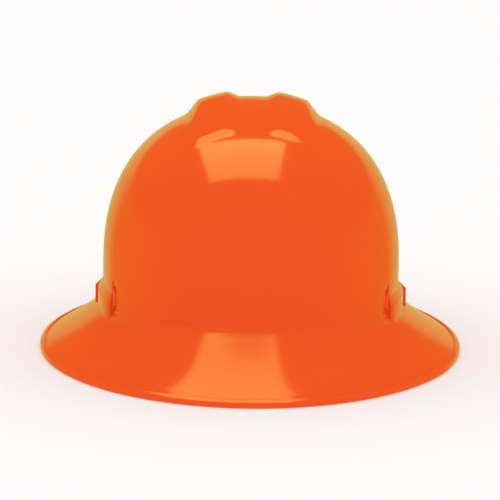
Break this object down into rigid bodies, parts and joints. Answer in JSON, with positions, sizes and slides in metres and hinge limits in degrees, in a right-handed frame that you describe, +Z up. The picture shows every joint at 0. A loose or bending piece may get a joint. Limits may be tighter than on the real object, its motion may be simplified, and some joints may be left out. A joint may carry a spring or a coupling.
{
  "type": "full-brim safety helmet",
  "caption": "Full-brim slotted safety helmet shell with twin crown ridges, a strap suspension, and a headband that a nape ratchet tightens.",
  "frame": {"origin": "middle of the plane that the brim rests on, under the middle of the helmet", "axes": "+Z up through the crown, -Y to the front of the helmet, +X to the wearer's left"},
  "size_m": [0.29, 0.34, 0.1717],
  "materials": {
    "shell_plastic": "high-visibility orange, glossy moulded polyethylene",
    "moulding": "black moulded nylon, fine texture",
    "band_plastic": "dark grey flexible polyethylene, satin",
    "webbing": "woven black polyester webbing",
    "pad_foam": "foam with a knitted cover",
    "steel": "zinc-plated",
    "acetal": "natural white, satin"
  },
  "bodies": {
    "shell_and_straps": {"shell": "shell_plastic", "key_front_left": "moulding", "key_front_right": "moulding", "key_rear_left": "moulding", "key_rear_right": "moulding", "crown_strap_a": "webbing", "crown_strap_b": "webbing"},
    "headband_unit": {"headband": "band_plastic", "brow_pad": "pad_foam", "ratchet_housing": "moulding", "ratchet_cover": "moulding", "cover_screw_1": "steel", "cover_screw_2": "steel", "cover_screw_3": "steel", "cover_screw_4": "steel", "nape_pad": "pad_foam"},
    "nape_left": {"nape_strap_left": "band_plastic"},
    "nape_right": {"nape_strap_right": "band_plastic"},
    "knob_unit": {"ratchet_knob": "moulding", "ratchet_pinion": "acetal", "click_spring": "acetal", "knob_washer": "steel", "knob_screw": "steel"}
  },
  "joints": [
    {"name": "headband_height", "type": "slide", "parent": "shell_and_straps", "child": "headband_unit", "axis": [0, 0, 1], "range_m": [0, 0.01]},
    {"name": "knob_turn", "type": "hinge", "parent": "headband_unit", "child": "knob_unit", "pos_m": [0, 0.1, 0.024], "axis": [0, 1, 0], "range_deg": [-300, 300], "deforming": ["click_spring"]},
    {"name": "nape_left_slide", "type": "hinge", "parent": "headband_unit", "child": "nape_left", "pos_m": [0, 0.023, 0.024], "axis": [0, 0, 1], "range_deg": [-20.5, 20.5]},
    {"name": "nape_right_slide", "type": "hinge", "parent": "headband_unit", "child": "nape_right", "pos_m": [0, 0.023, 0.024], "axis": [0, 0, 1], "range_deg": [-20.5, 20.5]}
  ],
  "couplings": [
    {"joint": "nape_left_slide", "follows": "knob_turn", "ratio": 0.065617},
    {"joint": "nape_right_slide", "follows": "knob_turn", "ratio": -0.067385}
  ]
}
